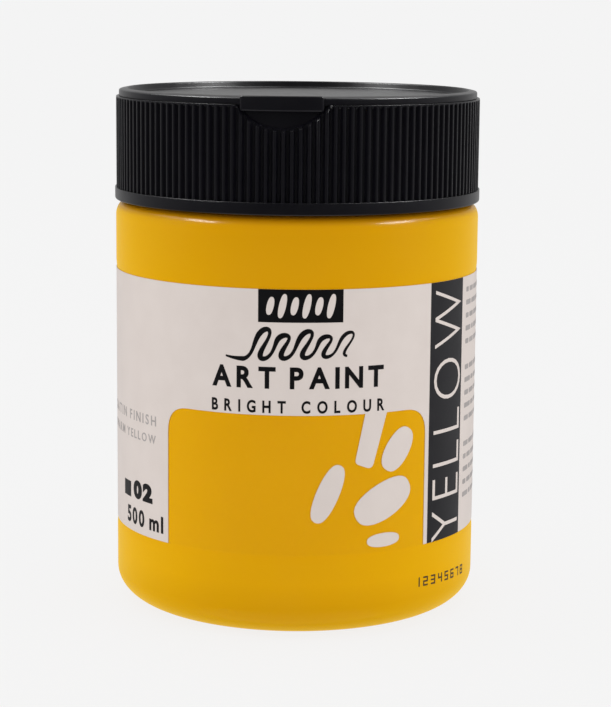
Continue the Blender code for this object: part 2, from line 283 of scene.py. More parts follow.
def jar_plastic():
    """Natural plastic with yellow paint behind it: yellow up to the fill, milky above it. The yellow
    carries painted shade towards the shoulder and the foot, and a painted shadow under the cap.
    """
    material = principled(
        "jar_plastic", (0.70, 0.31, 0.001), 0.2,
        Subsurface_Weight=0.15, Subsurface_Radius=(1.0, 0.45, 0.08), Subsurface_Scale=0.9 * MM,
        Specular_IOR_Level=0.14,
        Sheen_Weight=1.0, Sheen_Roughness=0.8, Sheen_Tint=(1.0, 0.62, 0.0, 1.0),
    )
    nodes, links, shader = parts_of(material)
    yellow = vary_colour(material, 22 * MM, (0.66, 0.29, 0.0), (0.685, 0.305, 0.0005))
    place = nodes.new("ShaderNodeTexCoord")
    axes = nodes.new("ShaderNodeSeparateXYZ")
    links.new(place.outputs["Object"], axes.inputs["Vector"])
    height = axes.outputs["Z"]
    # Painted shade: the yellow is painted darker towards the shoulder, where less light falls
    painted_shade_to_shoulder = ramp(material, height, 60 * MM, 92 * MM, 0.0, 1.0)
    yellow = mix_colours(material, painted_shade_to_shoulder, yellow, (0.58, 0.24, 0.0))
    # Painted shade: the yellow is painted darker towards the foot, which gets less light
    painted_shade_to_foot = ramp(material, height, 13 * MM, 3 * MM, 0.0, 1.0)
    yellow = mix_colours(material, painted_shade_to_foot, yellow, (0.52, 0.21, 0.0))
    # Painted shadow: dark brown just under the cap's edge, with less sheen there, for the shade in the
    # gap
    painted_shadow_under_cap = ramp(material, height, 94 * MM, 95.6 * MM, 0.0, 1.0)
    yellow = mix_colours(material, painted_shadow_under_cap, yellow, (0.40, 0.14, 0.001))
    links.new(ramp(material, painted_shadow_under_cap, 0.0, 1.0, 1.0, 0.2), shader.inputs["Sheen Weight"])
    above_fill = ramp(material, height, FILL_Z - 0.4 * MM, FILL_Z + 1.2 * MM, 0.0, 1.0)
    colour = mix_colours(material, above_fill, yellow, (0.80, 0.68, 0.42))
    links.new(colour, shader.inputs["Base Color"])
    vary_roughness(material, 9 * MM, 0.16, 0.22)
    add_bump(material, 2.4 * MM, 0.012 * MM)
    return material


def wet_paint():
    """Glossy yellow paint."""
    material = principled(
        "wet_paint", (0.75, 0.39, 0.008), 0.12,
        Subsurface_Weight=0.2, Subsurface_Radius=(1.0, 0.5, 0.1), Subsurface_Scale=1.5 * MM,
        Coat_Weight=0.6, Coat_Roughness=0.05,
    )
    vary_colour(material, 8 * MM, (0.72, 0.36, 0.006), (0.78, 0.42, 0.012))
    add_bump(material, 3 * MM, 0.04 * MM)
    return material


def clear_film():
    """Film that is almost wholly clear, so that it shows by its gloss."""
    material = principled("clear_film", (0.80, 0.45, 0.02), 0.22, Alpha=0.03, IOR=1.5)
    vary_roughness(material, 5 * MM, 0.18, 0.3)
    add_bump(material, 4 * MM, 0.01 * MM)
    return material


def ink(name, colour, other):
    """A printed, slightly uneven satin layer."""
    material = principled(name, colour, 0.42, Specular_IOR_Level=0.35)
    vary_colour(material, 6 * MM, colour, other)
    vary_roughness(material, 3 * MM, 0.37, 0.48)
    add_bump(material, 1.1 * MM, 0.006 * MM)
    return material


def black_plastic():
    """Moulded black plastic with a fine satin texture."""
    material = principled("black_plastic", (0.0048, 0.0044, 0.0075), 0.31)
    vary_colour(material, 10 * MM, (0.0043, 0.0039, 0.007), (0.0053, 0.0049, 0.008))
    vary_roughness(material, 2.5 * MM, 0.29, 0.34)
    add_bump(material, 0.35 * MM, 0.008 * MM, 3.0)
    return material


def seal_foam():
    material = principled("seal_foam", (0.80, 0.79, 0.75), 0.85, Subsurface_Weight=0.1)
    vary_colour(material, 1.2 * MM, (0.74, 0.73, 0.69), (0.84, 0.83, 0.80))
    add_bump(material, 0.5 * MM, 0.08 * MM, 4.0)
    return material


# -------- mesh helpers

def polar(radius, angle, z):
    return Vector((radius * math.sin(angle), -radius * math.cos(angle), z))


def new_object(name, bm):
    """An object from a bmesh, which is used up."""
    mesh = bpy.data.meshes.new(name)
    bm.to_mesh(mesh)
    bm.free()
    obj = bpy.data.objects.new(name, mesh)
    bpy.context.scene.collection.objects.link(obj)
    return obj


def shade(obj, sharp_deg):
    """Smooth shading, but for edges sharper than an angle."""
    obj.data.shade_smooth()
    obj.data.set_sharp_from_angle(angle=math.radians(sharp_deg))


def finish_piece(name, bm, material, sharp_deg=35.0):
    """An object from a bmesh, with its faces turned outwards and shaded smooth."""
    bmesh.ops.recalc_face_normals(bm, faces=bm.faces)
    obj = new_object(name, bm)
    obj.data.materials.append(material)
    shade(obj, sharp_deg)
    return obj


def place_piece(obj, body, slot, *nodes):
    """Says which body a piece rides on and hides the CAD nodes that it stands for. Its slot is not used.
    """
    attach(obj, body)
    if nodes:
        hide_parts(*nodes)


def apply_modifiers(obj):
    """Makes the evaluated mesh the object's own."""
    evaluated = obj.evaluated_get(bpy.context.evaluated_depsgraph_get())
    mesh = bpy.data.meshes.new_from_object(evaluated)
    obj.modifiers.clear()
    obj.data = mesh


def cut(obj, *tools):
    """Cuts the tools out of obj, then removes them."""
    for tool in tools:
        modifier = obj.modifiers.new(tool.name, "BOOLEAN")
        modifier.operation = "DIFFERENCE"
        modifier.object = tool
    apply_modifiers(obj)
    for tool in tools:
        bpy.data.objects.remove(tool, do_unlink=True)


def arc(centre_r, centre_z, size_r, size_z, start_deg, end_deg, steps):
    """Points along part of an ellipse, in an outline that is to be turned."""
    points = []
    for i in range(steps + 1):
        angle = math.radians(start_deg + (end_deg - start_deg) * i / steps)
        points.append((centre_r + size_r * math.cos(angle), centre_z + size_z * math.sin(angle)))
    return points


def rounded(corners, steps=5, loop=False):
    """An outline with rounded corners. A corner is (x, y) if sharp, or (x, y, rounding)."""
    points = []
    for i, corner in enumerate(corners):
        here = Vector(corner[:2])
        inner = loop or 0 < i < len(corners) - 1
        if len(corner) == 2 or not inner:
            points.append(tuple(here))
            continue
        before = Vector(corners[i - 1][:2]) - here
        after = Vector(corners[(i + 1) % len(corners)][:2]) - here
        reach = min(corner[2], before.length * 0.49, after.length * 0.49)
        start = here + before.normalized() * reach
        end = here + after.normalized() * reach
        for k in range(steps + 1):
            t = k / steps
            points.append(tuple(start * (1 - t) ** 2 + here * 2 * t * (1 - t) + end * t * t))
    return points


def ring(bm, radius, z, segments, centre=(0.0, 0.0)):
    """A ring of vertices, or a single one if its radius is 0."""
    if radius == 0:
        return [bm.verts.new((*centre, z))]
    shift = Vector((*centre, 0.0))
    return [bm.verts.new(polar(radius, TURN * i / segments, z) + shift) for i in range(segments)]


def join_rings(bm, one, other):
    """Faces between two rings, one of which may have a whole multiple of the other's vertices."""
    if len(one) < len(other):
        one, other = other, one
    share = len(one) // len(other)
    for j, corner in enumerate(other):
        if len(other) == 1:
            for before, after in zip(one, one[1:] + one[:1]):
                bm.faces.new((before, after, corner))
            continue
        along = [one[i % len(one)] for i in range(j * share, (j + 1) * share + 1)]
        bm.faces.new((*along, other[(j + 1) % len(other)], corner))


def join_all(bm, rings, loop=False):
    pairs = list(zip(rings, rings[1:]))
    if loop:
        pairs.append((rings[-1], rings[0]))
    for one, other in pairs:
        join_rings(bm, one, other)


def turned(name, outline, segments, material, centre=(0.0, 0.0), loop=False, sharp_deg=35.0):
    """A piece turned about a vertical axis. An open outline starts and ends on the axis."""
    bm = bmesh.new()
    join_all(bm, [ring(bm, r, z, segments, centre) for r, z in outline], loop)
    return finish_piece(name, bm, material, sharp_deg)


def lofted(name, sections, material, sharp_deg=35.0):
    """A closed piece through cross-sections that all have the same number of points."""
    bm = bmesh.new()
    rings = [[bm.verts.new(point) for point in section] for section in sections]
    join_all(bm, rings)
    bm.faces.new(rings[0])
    bm.faces.new(rings[-1])
    return finish_piece(name, bm, material, sharp_deg)


def thread(name, root_r, crest_r, start_z, material):
    """A right-handed ridge with rounded flanks, whose ends run out into the wall."""
    steps_per_turn = 120
    steps = round(THREAD_TURNS * steps_per_turn)
    fade_steps = 9
    depth = crest_r - root_r
    sections = []
    for i in range(steps + 1):
        height = math.sin(min(1.0, (min(i, steps - i) + 0.3) / fade_steps) * math.pi / 2)
        angle = TURN * i / steps_per_turn
        z = start_z + THREAD_PITCH * i / steps_per_turn
        corners = [
            (0.0, -THREAD_ROOT_HALF),
            (depth * 0.45 * height, -(THREAD_ROOT_HALF + THREAD_CREST_HALF) / 2),
            (depth * height, -THREAD_CREST_HALF, 0.25 * MM),
            (depth * height, THREAD_CREST_HALF, 0.25 * MM),
            (depth * 0.45 * height, (THREAD_ROOT_HALF + THREAD_CREST_HALF) / 2),
            (0.0, THREAD_ROOT_HALF),
        ]
        sections.append([polar(root_r + dr, angle, z + dz) for dr, dz in rounded(corners, 3)])
    return lofted(name, sections, material, 60.0)


# -------- jar

def jar_shell(material):
    """The jar's walls, its neck with the thread, and the gate mark under its base."""
    sink = BODY_R - PANEL_R
    low_z = LABEL_LOW_Z - PANEL_GAP
    high_z = LABEL_HIGH_Z + PANEL_GAP
    foot_inner_r = FOOT_R - FOOT_WIDTH
    inner_r = PANEL_R - WALL
    shoulder_h = SHOULDER_Z - SHOULDER_LOW_Z
    outer = [
        (0, PUSH_UP),
        *arc(foot_inner_r - PUSH_UP, PUSH_UP * 0.35, PUSH_UP, PUSH_UP * 0.65, 90, 20, 6),
        (foot_inner_r, 0.12 * MM),
        (foot_inner_r + 0.15 * MM, 0),
        *arc(FOOT_R, FOOT_CORNER_H, BODY_R - FOOT_R, FOOT_CORNER_H, -90, 0, 18),
        *rounded([
            (BODY_R, low_z - 3 * MM),
            (BODY_R, low_z - PANEL_STEP_H, 0.6 * MM),
            (PANEL_R, low_z + sink, 0.3 * MM),
            (PANEL_R, high_z - sink, 0.3 * MM),
            (BODY_R, high_z + PANEL_STEP_H, 0.6 * MM),
            (BODY_R, high_z + 3 * MM),
        ], 3),
        *arc(BODY_R - SHOULDER_ROUND, SHOULDER_LOW_Z, SHOULDER_ROUND, shoulder_h, 0, 90, 14),
    ]
    neck = rounded([
        (NECK_R + 0.25 * MM, SHOULDER_Z),
        (NECK_R, SHOULDER_Z, 0.2 * MM),
        (NECK_R, LIP_Z, 0.5 * MM),
        (BORE_R, LIP_Z, 0.5 * MM),
        (BORE_R, SHOULDER_Z - WALL, 2 * MM),
        (inner_r, SHOULDER_LOW_Z, 2 * MM),
        (inner_r, FOOT_CORNER_H),
    ], 5)
    inside = arc(FOOT_R, FOOT_CORNER_H, inner_r - FOOT_R, FOOT_CORNER_H - WALL, 0, -90, 8)
    floor = [(foot_inner_r, WALL), (foot_inner_r - PUSH_UP, PUSH_UP + WALL), (0, PUSH_UP + WALL)]
    outline = [*outer, *neck, *inside[1:], *floor]
    shell = turned("jar_shell", outline, JAR_SEGMENTS, material, sharp_deg=50)
    place_piece(shell, "jar", "jar_plastic", "jar_body")

    ridge = thread("neck_thread", NECK_R - 0.3 * MM, NECK_THREAD_CREST_R, NECK_THREAD_Z, material)
    place_piece(ridge, "jar", "jar_plastic")

    nub_r = 1.6 * MM
    nub = rounded([
        (0, PUSH_UP + 0.3 * MM),
        (nub_r * 1.5, PUSH_UP + 0.3 * MM),
        (nub_r, PUSH_UP - 0.25 * MM, 0.3 * MM),
        (nub_r * 0.4, PUSH_UP - 0.5 * MM, 0.3 * MM),
        (0, PUSH_UP - 0.5 * MM),
    ], 4)
    place_piece(turned("gate_mark", nub, SMALL_SEGMENTS, material), "jar", "jar_plastic")


def paint(material):
    """The contents. Their top is stirred into a low spiral."""
    gap = WALL + 0.3 * MM
    side_r = PANEL_R - gap
    level_r = BORE_R - 0.3 * MM
    swirl_height = 0.5 * MM
    sag = 0.9 * MM                # of the top below the fill's level
    outline = [
        (0, PUSH_UP + gap),
        (FOOT_R - FOOT_WIDTH - PUSH_UP, PUSH_UP + gap),
        (FOOT_R - FOOT_WIDTH, gap),
        *arc(FOOT_R, FOOT_CORNER_H, side_r - FOOT_R, FOOT_CORNER_H - gap, -90, 0, 8),
        (side_r, SHOULDER_LOW_Z - 0.3 * MM),
        (level_r, SHOULDER_Z - gap),
        (level_r, FILL_Z),
    ]
    bm = bmesh.new()
    segments = 144
    rings = [ring(bm, r, z, segments) for r, z in outline]
    top_rings = 30
    for i in range(1, top_rings):
        share = 1 - i / top_rings
        across = ring(bm, level_r * share, FILL_Z, segments)
        for j, vert in enumerate(across):
            swirl = math.sin(2 * TURN * j / segments + 16 * share)
            edge = min(1.0, (1 - share) * 6)
            vert.co.z += (swirl_height * swirl - sag) * edge * (1 - 0.5 * share)
        rings.append(across)
    rings.append(ring(bm, 0, FILL_Z - sag, segments))
    join_all(bm, rings)
    place_piece(finish_piece("paint", bm, material, 60), "jar", "yellow_paint", "paint_fill")


# -------- label

def outline_shape(*outlines):
    """A flat shape in x and y from closed outlines that don't overlap."""
    bm = bmesh.new()
    for outline in outlines:
        bm.faces.new([bm.verts.new((x, y, 0.0)) for x, y in outline])
    bm.normal_update()
    bmesh.ops.triangulate(bm, faces=bm.faces, ngon_method="EAR_CLIP")
    return bm


def joined(shapes):
    """One flat shape from several. The originals are used up."""
    bm = bmesh.new()
    for shape in shapes:
        mesh = bpy.data.meshes.new("shape")
        shape.to_mesh(mesh)
        shape.free()
        bm.from_mesh(mesh)
        bpy.data.meshes.remove(mesh)
    return bm


def rectangle(left, low, right, high, rounding=0.0):
    corners = [(left, low), (right, low), (right, high), (left, high)]
    if rounding:
        corners = [(*corner, rounding) for corner in corners]
    return rounded(corners, 4, loop=True)


def stroke(points, widths):
    """The outline of a brush stroke along points, with a width at each."""
    left = []
    right = []
    for i, point in enumerate(points):
        here = Vector(point)
        before = Vector(points[max(i - 1, 0)])
        after = Vector(points[min(i + 1, len(points) - 1)])
        along = (after - before).normalized()
        side = Vector((-along.y, along.x)) * widths[i] / 2
        left.append(tuple(here + side))
        right.append(tuple(here - side))
    return right + left[::-1]


def character_shape(character, weight):
    """A flat bmesh of one character of Blender's own font, made bolder by weight."""
    curve = bpy.data.curves.new("glyph", "FONT")
    curve.body = character
    curve.resolution_u = 5
    curve.offset = weight
    holder = bpy.data.objects.new("glyph", curve)
    bpy.context.scene.collection.objects.link(holder)
    mesh = bpy.data.meshes.new_from_object(holder.evaluated_get(bpy.context.evaluated_depsgraph_get()))
    bm = bmesh.new()
    bm.from_mesh(mesh)
    bpy.data.meshes.remove(mesh)
    bpy.data.objects.remove(holder, do_unlink=True)
    bpy.data.curves.remove(curve)
    bmesh.ops.remove_doubles(bm, verts=bm.verts, dist=1e-5)
    return bm


def extent(bm, axis):
    values = [vert.co[axis] for vert in bm.verts]
    return min(values), max(values)


def lettering(text, span, base, height, weight, narrow):
    """A line of generic characters spread over a span, all in millimetres."""
    left, right, base, height = (size * MM for size in (*span, base, height))
    tall = character_shape("H", weight)
    low, high = extent(tall, 1)
    tall.free()
    scale = height / (high - low)
    shapes = []
    widths = []
    for character in text:
        if character == " ":
            shapes.append(None)
            widths.append(height * 0.15)
            continue
        shape = character_shape(character, weight)
        start, end = extent(shape, 0)
        shapes.append((shape, start))
        widths.append((end - start) * scale * narrow)
    gap = (right - left - sum(widths)) / (len(text) - 1)
    placed = []
    x = left
    for shape, width in zip(shapes, widths):
        if shape is not None:
            bm, start = shape
            for vert in bm.verts:
                vert.co.x = x + (vert.co.x - start) * scale * narrow
                vert.co.y = base + (vert.co.y - low) * scale
            placed.append(bm)
        x += width + gap
    return joined(placed)


def wrap(name, bm, layer, material):
    """Bends a flat shape round the jar as one of the printed layers."""
    inner_r, thickness = layer
    step = 1.1 * MM
    low, high = extent(bm, 0)
    for i in range(math.ceil(low / step), math.floor(high / step) + 1):
        geometry = bm.verts[:] + bm.edges[:] + bm.faces[:]
        bmesh.ops.bisect_plane(
            bm, geom=geometry, dist=1e-8, plane_co=(i * step, 0, 0), plane_no=(1, 0, 0),
        )
    result = bmesh.ops.extrude_face_region(bm, geom=bm.faces[:], use_keep_orig=True)
    outer = {item for item in result["geom"] if isinstance(item, bmesh.types.BMVert)}
    for vert in bm.verts:
        radius = inner_r + (thickness if vert in outer else 0.0)
        vert.co = polar(radius, vert.co.x / LABEL_R, vert.co.y)
    place_piece(finish_piece(name, bm, material, 40), "jar", "label_film")


def film(material):
    """The clear film, whose ends lap at the back."""
    lap = 2 * SEAM_HALF_ANGLE
    steps = 240
    sections = []
    for i in range(steps + 1):
        angle = math.pi - lap / 2 + (TURN + lap) * i / steps
        onto_lap = (angle - 3 * math.pi + lap) / lap
        inner_r = FILM_R + LAP_LIFT * min(1.0, max(0.0, onto_lap))
        outer_r = inner_r + FILM_THICKNESS
        corners = [
            (inner_r, LABEL_LOW_Z), (outer_r, LABEL_LOW_Z),
            (outer_r, LABEL_HIGH_Z), (inner_r, LABEL_HIGH_Z),
        ]
        sections.append([polar(r, angle, z) for r, z in corners])
    obj = lofted("label_film", sections, material)
    place_piece(obj, "jar", "label_film", "label_wrap")


def white_print(material):
    """White ink all round, but for a clear window at the front that runs out at the bottom."""
    half = (math.pi - SEAM_HALF_ANGLE) * LABEL_R
    outline = rounded([
        (-half, LABEL_LOW_Z),
        (WINDOW_LEFT, LABEL_LOW_Z),
        (WINDOW_LEFT, WINDOW_HIGH_Z, WINDOW_CORNER),
        (WINDOW_RIGHT, WINDOW_HIGH_Z, WINDOW_CORNER),
        (WINDOW_RIGHT, LABEL_LOW_Z),
        (half, LABEL_LOW_Z),
        (half, LABEL_HIGH_Z),
        (-half, LABEL_HIGH_Z),
    ], 8)
    wrap("label_white", outline_shape(outline), WHITE_LAYER, material)


def dab(foot, top, width):
    """The outline of a single brush dab, full in the middle and blunt at its ends."""
    steps = 14
    inset = 0.35                  # keeps the ends from coming to a point, in steps
    angles = [math.pi * (i + inset) / (steps + 2 * inset) for i in range(steps + 1)]
    points = [Vector(foot).lerp(Vector(top), (1 - math.cos(angle)) / 2) for angle in angles]
    widths = [width * math.sin(angle) ** 0.75 for angle in angles]
    return stroke(points, widths)


def window_dabs(material):
    """White brush dabs in the window. The first hangs from the white above it."""
    stem = [
        (19.6 * MM, WINDOW_HIGH_Z),
        (17.2 * MM, 40.6 * MM, 1.0 * MM),
        (21.4 * MM, 39.0 * MM, 1.5 * MM),
        (25.0 * MM, WINDOW_HIGH_Z),
    ]
    places = [                    # foot, top and width of each, in millimetres
        ((25.0, 38.6), (31.2, 47.6), 6.4),
        ((8.2, 27.4), (13.8, 40.4), 5.2),
        ((17.6, 28.0), (31.4, 35.0), 8.4),
        ((20.4, 22.3), (28.8, 22.6), 3.2),
    ]
    outlines = [rounded(stem, 5, loop=True)]
    for foot, top, width in places:
        outlines.append(dab(Vector(foot) * MM, Vector(top) * MM, width * MM))
    wrap("label_dabs", outline_shape(*outlines), WHITE_LAYER, material)


def badge(black, white):
    """A plain black badge with a row of leaning dabs."""
    box = outline_shape(rectangle(BADGE_LEFT, BADGE_LOW_Z, BADGE_RIGHT, LABEL_HIGH_Z))
    wrap("badge_box", box, INK_LAYER, black)
    middle = (BADGE_LOW_Z + LABEL_HIGH_Z) / 2
    dab_width = 1.6 * MM
    count = 6
    dabs = []
    for i in range(count):
        x = BADGE_LEFT + (BADGE_RIGHT - BADGE_LEFT) * (i + 1) / (count + 1)
        reach = (2.0 + 0.7 * (i % 2)) * MM
        slant = reach * 0.22
        dabs.append(dab((x - slant, middle - reach), (x + slant, middle + reach), dab_width))
    wrap("badge_dabs", outline_shape(*dabs), OVERPRINT_LAYER, white)


def ribbon(points, widths):
    """A flat shape of quads along points, for a stroke that turns back on itself."""
    outline = stroke(points, widths)
    count = len(points)
    bm = bmesh.new()
    verts = [bm.verts.new((x, y, 0.0)) for x, y in outline]
    for i in range(count - 1):
        last = 2 * count - 1 - i
        bm.faces.new((verts[i], verts[i + 1], verts[last - 1], verts[last]))
    bmesh.ops.recalc_face_normals(bm, faces=bm.faces)
    return bm


def flourish(material):
    """A brush scribble above the title, with no letters in it: a tail, then slanting waves."""
    start_x = -6.9 * MM
    middle = 67.7 * MM
    pace = 4.7 * MM               # along the label, for each wave
    trough = 3.3 * MM             # below the middle
    crests = (3.6 * MM, 2.4 * MM)  # above it, taken in turn
    waves = 5
    steps = 40
    points = []
    widths = []
    for i in range(waves * steps + 1):
        turns = i / steps
        phase = TURN * turns - math.pi / 2
        reach = trough if math.sin(phase) < 0 else crests[int(turns) % 2]
        height = reach * math.sin(phase)
        share = turns / waves
        x = start_x + pace * turns - 0.55 * MM * math.sin(2 * phase) + 0.45 * height
        points.append((x, middle + height * (1 - 0.25 * share)))
        widths.append((0.75 + 0.5 * math.sin(phase + 0.6) ** 2) * MM * (1 - 0.5 * share ** 4))
    start = points[0]
    tail = []
    tail_widths = []
    tail_steps = 12
    for k in range(tail_steps):
        share = k / tail_steps
        tail.append((start[0] - 4.0 * MM * (1 - share), start[1] + 0.5 * MM * (1 - share) ** 2))
        tail_widths.append((0.4 + 0.7 * share) * MM)
    shape = ribbon(tail + points, tail_widths + widths)
    wrap("flourish", shape, INK_LAYER, material)


def headings(black):
    """The title and the line below it."""
    title = lettering("ART PAINT", (-15.7, 24.0), base=57.85, height=4.9, weight=0.034, narrow=0.93)
    wrap("title", title, INK_LAYER, black)
    subtitle = lettering("BRIGHT COLOUR", (-15.8, 24.3), base=52.35, height=2.8, weight=0.03, narrow=0.78)
    wrap("subtitle", subtitle, INK_LAYER, black)


def side_band(black, white):
    """The black band beside the window, with the colour's name running up it."""
    shape = outline_shape(rectangle(BAND_LEFT, LABEL_LOW_Z, BAND_RIGHT, LABEL_HIGH_Z))
    wrap("side_band", shape, INK_LAYER, black)
    word = lettering("YELLOW", (19.6, 78.2), base=0.0, height=11.05, weight=-0.018, narrow=0.79)
    margin = 0.9 * MM             # from the word's feet to the band's right edge
    for vert in word.verts:
        vert.co.x, vert.co.y = BAND_RIGHT - margin - vert.co.y, vert.co.x
    wrap("band_word", word, OVERPRINT_LAYER, white)


def word_bars(left, right, base, height, seed, outlines):
    """Adds a row of small bars in place of a line of small print, their widths varied by a seed."""
    x = left
    for i in itertools.count(seed):
        width = height * (1.4 + 2.6 * ((i * 37) % 11) / 10)
        if x + width > right:
            break
        outlines.append(rectangle(x, base, x + width, base + height, height * 0.25))
        x += width + height * 0.75


def small_print(columns, rows, group, first_base, pitch, height, row_seed, column_seed):
    """Columns of bars. In each group of rows the last one is left blank."""
    bars = []
    for column, (left, right) in enumerate(columns):
        for row in range(rows):
            if row % group < group - 1:
                seed = row * row_seed + column * column_seed
                word_bars(left, right, first_base - pitch * row, height, seed, bars)
    return bars


def left_panel(dark, grey):
    """A square, a number and the content, below two grey lines."""
    square = outline_shape(rectangle(-48.1 * MM, 27.6 * MM, -43.9 * MM, 31.3 * MM))
    digits = lettering("02", (-42.4, -33.8), base=27.8, height=4.35, weight=0.07, narrow=1.35)
    content = lettering("500 ml", (-46.1, -29.9), base=21.5, height=3.95, weight=0.034, narrow=0.95)
    wrap("panel_digits", joined([square, digits, content]), INK_LAYER, dark)
    upper = lettering("SATIN FINISH", (-58.0, -32.4), base=46.3, height=2.3, weight=0.012, narrow=0.95)
    lower = lettering("WARM YELLOW", (-58.0, -32.5), base=42.1, height=2.0, weight=0.01, narrow=0.95)
    wrap("panel_lines", joined([upper, lower]), INK_LAYER, grey)


def back_panel(dark, grey):
    """Small print round the side and the back, and a block of plain stripes."""
    right_bars = small_print(
        columns=((53.5 * MM, 80.0 * MM), (84.0 * MM, 108.0 * MM)), rows=18, group=6,
        first_base=76.4 * MM, pitch=3.05 * MM, height=1.15 * MM, row_seed=7, column_seed=3,
    )
    left_bars = small_print(
        columns=((-92.0 * MM, -70.0 * MM), (-122.0 * MM, -98.0 * MM)), rows=16, group=5,
        first_base=74.0 * MM, pitch=2.7 * MM, height=1.0 * MM, row_seed=5, column_seed=7,
    )
    wrap("back_lines", outline_shape(*right_bars, *left_bars), INK_LAYER, grey)
    stripes = []
    x = 112.5 * MM
    low_z = 24.0 * MM
    high_z = 38.0 * MM
    for i in range(18):
        width = (0.25 + 0.22 * ((i * 7) % 4)) * MM
        stripes.append(rectangle(x, low_z, x + width, high_z))
        x += width + (0.3 + 0.18 * ((i * 5) % 3)) * MM
    wrap("back_stripes", outline_shape(*stripes), INK_LAYER, dark)


# The strokes of a digit, on a grid 4 steps wide and 6 steps high
SEGMENTS_OF = {
    "1": "bc", "2": "abged", "3": "abgcd", "4": "fgbc",
    "5": "afgcd", "6": "afgedc", "7": "abc", "8": "abcdefg",
}
SEGMENT_ENDS = {
    "a": ((0, 6), (4, 6)), "b": ((4, 6), (4, 3)), "c": ((4, 3), (4, 0)), "d": ((4, 0), (0, 0)),
    "e": ((0, 0), (0, 3)), "f": ((0, 3), (0, 6)), "g": ((0, 3), (4, 3)),
}


def batch_digits(material):
    """A row of dotted digits printed on the bare plastic below the label."""
    pitch = 0.31 * MM             # of the dots
    dot_r = 0.23 * MM
    dots = []
    for i, digit in enumerate("12345678"):
        places = set()
        for segment in SEGMENTS_OF[digit]:
            (x0, y0), (x1, y1) = SEGMENT_ENDS[segment]
            steps = max(abs(x1 - x0), abs(y1 - y0))
            for k in range(steps + 1):
                places.add((x0 + (x1 - x0) * k // steps, y0 + (y1 - y0) * k // steps))
        for x, y in sorted(places):
            along = BATCH_LEFT + BATCH_ADVANCE * i + pitch * x
            height = BATCH_LOW_Z + pitch * y - BATCH_FALL * (along - BATCH_LEFT)
            circle = [
                (along + dot_r * math.cos(TURN * k / 8), height + dot_r * math.sin(TURN * k / 8))
                for k in range(8)
            ]
            dots.append(circle)
    wrap("batch_digits", outline_shape(*dots), BATCH_LAYER, material)


# -------- cap

def rib_ring(bm, z, depth=1.0):
    """The ribs' outline at one height: rounded crests and flat-bottomed grooves."""
    profile = [                   # place in a rib's width, and height from groove to crest
        (0.00, 0.62), (0.025, 0.9), (0.07, 1.0), (0.21, 1.03), (0.35, 1.0), (0.395, 0.9),
        (0.42, 0.62), (0.52, 0.14), (0.57, 0.0), (0.71, -0.03), (0.85, 0.0), (0.90, 0.14),
    ]
    points = []
    for i in range(RIBS):
        for place, height in profile:
            radius = RIB_R - (RIB_R - GROOVE_R) * (1 - height) * depth
            points.append(bm.verts.new(polar(radius, TURN * (i + place) / RIBS, z)))
    return points


def cap_skirt(material):
    """The ribbed wall: a plain band below, grooves that end under the top edge, and the bore."""
    bm = bmesh.new()
    plain = RIBS * 4
    smooth = RIBS * 2
    band = rounded([
        (CAP_BORE_R + 0.6 * MM, CAP_LOW_Z),
        (BAND_R, CAP_LOW_Z, 0.5 * MM),
        (BAND_R, RIB_LOW_Z, 0.12 * MM),
        (RIB_R + 0.02 * MM, RIB_LOW_Z),
    ], 5)
    top = rounded([
        (RIB_R, RIB_HIGH_Z),
        (RIB_R - 0.02 * MM, CAP_HIGH_Z, 0.05 * MM),
        (TOP_RECESS_R, CAP_HIGH_Z, 0.3 * MM),
        (TOP_RECESS_R, DECK_HIGH_Z - 0.5 * MM),
    ], 4)
    inside = [
        (TOP_RECESS_R, DECK_LOW_Z + 0.5 * MM),
        (CAP_COLLAR_R, DECK_LOW_Z),
        *rounded([
            (CAP_COLLAR_R, CAP_COLLAR_Z + 2 * MM),
            (CAP_COLLAR_R, CAP_COLLAR_Z + 1.2 * MM, 0.4 * MM),
            (CAP_BORE_R, CAP_COLLAR_Z, 0.4 * MM),
            (CAP_BORE_R, CAP_COLLAR_Z - 2 * MM),
        ], 3),
        *rounded([(CAP_BORE_R, CAP_LOW_Z + 2 * MM), (CAP_BORE_R, CAP_LOW_Z, 0.4 * MM), band[0]], 3)[:-1],
    ]
    rings = [ring(bm, r, z, plain) for r, z in band]
    rings.append(rib_ring(bm, RIB_LOW_Z))
    runout_steps = 6
    for i in range(runout_steps + 1):
        share = i / runout_steps
        rings.append(rib_ring(bm, RIB_HIGH_Z - RIB_RUNOUT * (1 - share), math.sqrt(1 - share ** 2)))
    rings += [ring(bm, r, z, plain) for r, z in top[1:]]
    rings += [ring(bm, r, z, smooth) for r, z in inside]
    join_all(bm, rings, loop=True)
    skirt = finish_piece("cap_skirt", bm, material, 40)
    cut(skirt, scoop_cutter(), hinge_cutter())
    shade(skirt, 40)
    place_piece(skirt, "cap", "black_plastic", "screw_cap")


def wrapped_cutter(name, stations, outline_at):
    """A cutter through outlines at several radii, wrapped onto the cap's front.

    The second half of an outline runs back above the first, so its ends close in strips.
    """
    sections = []
    for radius in stations:
        sections.append([polar(radius, x / RIB_R, z) for x, z in outline_at(radius)])
    bm = bmesh.new()
    rings = [[bm.verts.new(point) for point in section] for section in sections]
    join_all(bm, rings)
    for end in (rings[0], rings[-1]):
        last = len(end) - 1
        for i in range(len(end) // 2 - 1):
            bm.faces.new((end[i], end[i + 1], end[last - i - 1], end[last - i]))
    bmesh.ops.recalc_face_normals(bm, faces=bm.faces)
    return new_object(name, bm)


